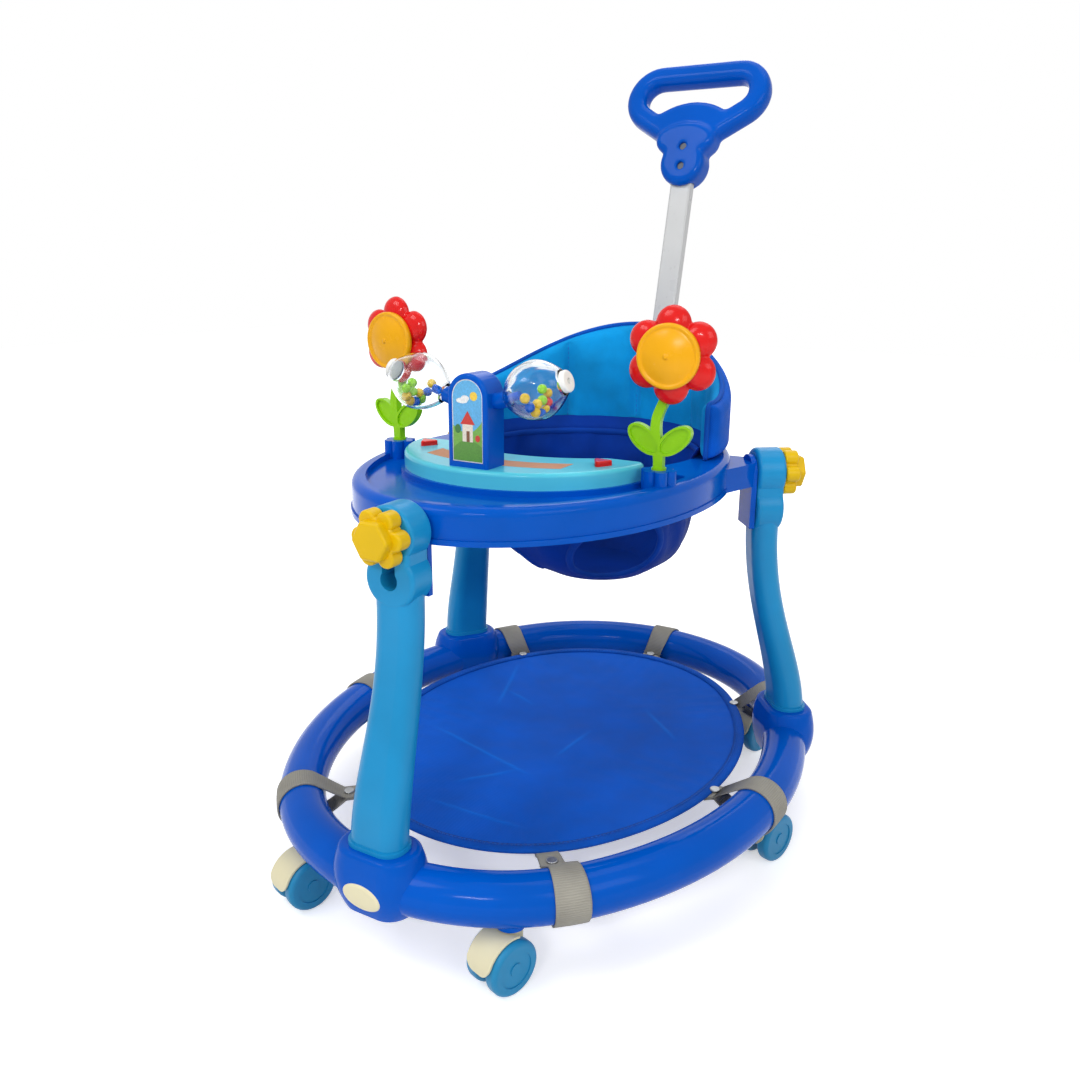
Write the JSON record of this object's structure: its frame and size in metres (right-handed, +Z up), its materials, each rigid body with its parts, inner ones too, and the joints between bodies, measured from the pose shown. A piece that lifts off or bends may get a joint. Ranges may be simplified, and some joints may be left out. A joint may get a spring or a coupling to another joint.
{
  "type": "baby walker",
  "caption": "Baby walker: oval base ring on twin-wheel casters, raised toy tray with hanging cloth seat, padded back rest and push handle.",
  "frame": {"origin": "middle of the base oval, on the floor", "axes": "+Z up, -Y the front of the walker, +X to the side of its right hand as seen from the front"},
  "size_m": [0.5661, 0.7379, 0.8577],
  "materials": {
    "blue_shell": "gloss",
    "leg_blue": "satin",
    "steel": "satin",
    "bolt_steel": "satin",
    "bush_plastic": "matte",
    "hood_cream": "satin",
    "wheel_teal": "satin",
    "mat_cloth": "woven",
    "webbing": "woven",
    "panel_blue": "gloss",
    "inlay_tan": "matte",
    "red_plastic": "gloss",
    "rattle_clear": "clear",
    "cap_white": "satin",
    "bead_mix": "gloss",
    "stem_lime": "satin",
    "centre_yellow": "satin",
    "knob_yellow": "satin",
    "seat_cloth": "woven",
    "pad_cloth": "woven",
    "handle_metal": "satin"
  },
  "bodies": {
    "base": {"base_ring": "blue_shell", "front_leg": "leg_blue", "right_leg": "leg_blue", "left_leg": "leg_blue", "leg_screws": "steel", "caster_bushes": "bush_plastic", "floor_mat": "mat_cloth", "mat_straps": "webbing", "strap_studs": "steel"},
    "caster_1": {"caster_1_hood": "hood_cream", "caster_1_pins": "steel"},
    "wheels_1": {"caster_1_wheels": "wheel_teal"},
    "caster_2": {"caster_2_hood": "hood_cream", "caster_2_pins": "steel"},
    "wheels_2": {"caster_2_wheels": "wheel_teal"},
    "caster_3": {"caster_3_hood": "hood_cream", "caster_3_pins": "steel"},
    "wheels_3": {"caster_3_wheels": "wheel_teal"},
    "caster_4": {"caster_4_hood": "hood_cream", "caster_4_pins": "steel"},
    "wheels_4": {"caster_4_wheels": "wheel_teal"},
    "caster_5": {"caster_5_hood": "hood_cream", "caster_5_pins": "steel"},
    "wheels_5": {"caster_5_wheels": "wheel_teal"},
    "caster_6": {"caster_6_hood": "hood_cream", "caster_6_pins": "steel"},
    "wheels_6": {"caster_6_wheels": "wheel_teal"},
    "tray": {"tray_body": "blue_shell", "toy_panel": "panel_blue", "panel_inlay": "inlay_tan", "lug_inserts": "bolt_steel", "tower_front": "blue_shell", "tower_back": "blue_shell", "rattle_pins": "blue_shell", "right_flower_stem": "stem_lime", "left_flower_stem": "stem_lime", "seat_sling": "seat_cloth", "backrest_pad": "pad_cloth"},
    "front_clamp": {"front_knob": "knob_yellow", "front_bolt": "bolt_steel"},
    "right_clamp": {"right_knob": "knob_yellow", "right_bolt": "bolt_steel"},
    "left_clamp": {"left_knob": "knob_yellow", "left_bolt": "bolt_steel"},
    "right_button_key": {"right_button": "red_plastic"},
    "right_rattle": {"right_rattle_shell": "rattle_clear", "right_rattle_cap": "cap_white", "right_rattle_beads": "bead_mix"},
    "right_flower": {"right_flower_petals": "red_plastic", "right_flower_centre": "centre_yellow"},
    "left_button_key": {"left_button": "red_plastic"},
    "left_rattle": {"left_rattle_shell": "rattle_clear", "left_rattle_cap": "cap_white", "left_rattle_beads": "bead_mix"},
    "left_flower": {"left_flower_petals": "red_plastic", "left_flower_centre": "centre_yellow"},
    "handle": {"handle_tube": "handle_metal", "handle_grip": "blue_shell", "grip_screws": "steel"}
  },
  "joints": [
    {"name": "caster_1_swivel", "type": "hinge", "parent": "base", "child": "caster_1", "pos_m": [-0.11659, -0.28857, 0.056], "axis": [0, 0, 1], "continuous": true},
    {"name": "caster_1_roll", "type": "hinge", "parent": "caster_1", "child": "wheels_1", "pos_m": [-0.1198, -0.29909, 0.026], "axis": [0.9563, -0.2924, 0], "continuous": true},
    {"name": "caster_2_swivel", "type": "hinge", "parent": "base", "child": "caster_2", "pos_m": [0.11659, -0.28857, 0.056], "axis": [0, 0, 1], "continuous": true},
    {"name": "caster_2_roll", "type": "hinge", "parent": "caster_2", "child": "wheels_2", "pos_m": [0.11337, -0.29909, 0.026], "axis": [0.9563, -0.2924, 0], "continuous": true},
    {"name": "caster_3_swivel", "type": "hinge", "parent": "base", "child": "caster_3", "pos_m": [0.25521, 0.02457, 0.056], "axis": [0, 0, 1], "continuous": true},
    {"name": "caster_3_roll", "type": "hinge", "parent": "caster_3", "child": "wheels_3", "pos_m": [0.25199, 0.01405, 0.026], "axis": [0.9563, -0.2924, 0], "continuous": true},
    {"name": "caster_4_swivel", "type": "hinge", "parent": "base", "child": "caster_4", "pos_m": [0.16253, 0.25027, 0.056], "axis": [0, 0, 1], "continuous": true},
    {"name": "caster_4_roll", "type": "hinge", "parent": "caster_4", "child": "wheels_4", "pos_m": [0.15931, 0.23975, 0.026], "axis": [0.9563, -0.2924, 0], "continuous": true},
    {"name": "caster_5_swivel", "type": "hinge", "parent": "base", "child": "caster_5", "pos_m": [-0.16253, 0.25027, 0.056], "axis": [0, 0, 1], "continuous": true},
    {"name": "caster_5_roll", "type": "hinge", "parent": "caster_5", "child": "wheels_5", "pos_m": [-0.16574, 0.23975, 0.026], "axis": [0.9563, -0.2924, 0], "continuous": true},
    {"name": "caster_6_swivel", "type": "hinge", "parent": "base", "child": "caster_6", "pos_m": [-0.25521, 0.02457, 0.056], "axis": [0, 0, 1], "continuous": true},
    {"name": "caster_6_roll", "type": "hinge", "parent": "caster_6", "child": "wheels_6", "pos_m": [-0.25843, 0.01405, 0.026], "axis": [0.9563, -0.2924, 0], "continuous": true},
    {"name": "tray_height", "type": "slide", "parent": "base", "child": "tray", "axis": [0, 0, 1], "range_m": [-0.04, 0]},
    {"name": "front_knob_turn", "type": "hinge", "parent": "tray", "child": "front_clamp", "pos_m": [0, -0.2953, 0.397], "axis": [0, -1, 0], "continuous": true},
    {"name": "right_knob_turn", "type": "hinge", "parent": "tray", "child": "right_clamp", "pos_m": [0.20475, 0.13232, 0.397], "axis": [0.7965, 0.6046, 0], "continuous": true},
    {"name": "left_knob_turn", "type": "hinge", "parent": "tray", "child": "left_clamp", "pos_m": [-0.20475, 0.13232, 0.397], "axis": [-0.7965, 0.6046, 0], "continuous": true},
    {"name": "right_button_press", "type": "slide", "parent": "tray", "child": "right_button_key", "axis": [0, 0, 1], "range_m": [-0.003, 0], "stiffness_N_per_m": 400, "springref_m": 0.003},
    {"name": "right_rattle_spin", "type": "hinge", "parent": "tray", "child": "right_rattle", "pos_m": [0.03408, -0.158, 0.49763], "axis": [0.9511, 0, 0.309], "continuous": true},
    {"name": "right_flower_spin", "type": "hinge", "parent": "tray", "child": "right_flower", "pos_m": [0.16486, -0.08932, 0.538], "axis": [0.0872, -0.9962, 0], "continuous": true},
    {"name": "left_button_press", "type": "slide", "parent": "tray", "child": "left_button_key", "axis": [0, 0, 1], "range_m": [-0.003, 0], "stiffness_N_per_m": 400, "springref_m": 0.003},
    {"name": "left_rattle_spin", "type": "hinge", "parent": "tray", "child": "left_rattle", "pos_m": [-0.03408, -0.158, 0.49763], "axis": [-0.9511, 0, 0.309], "continuous": true},
    {"name": "left_flower_spin", "type": "hinge", "parent": "tray", "child": "left_flower", "pos_m": [-0.14095, -0.09141, 0.538], "axis": [-0.0872, -0.9962, 0], "continuous": true},
    {"name": "handle_pull", "type": "slide", "parent": "tray", "child": "handle", "axis": [0, 0.2419, 0.9703], "range_m": [0, 0.04]}
  ]
}
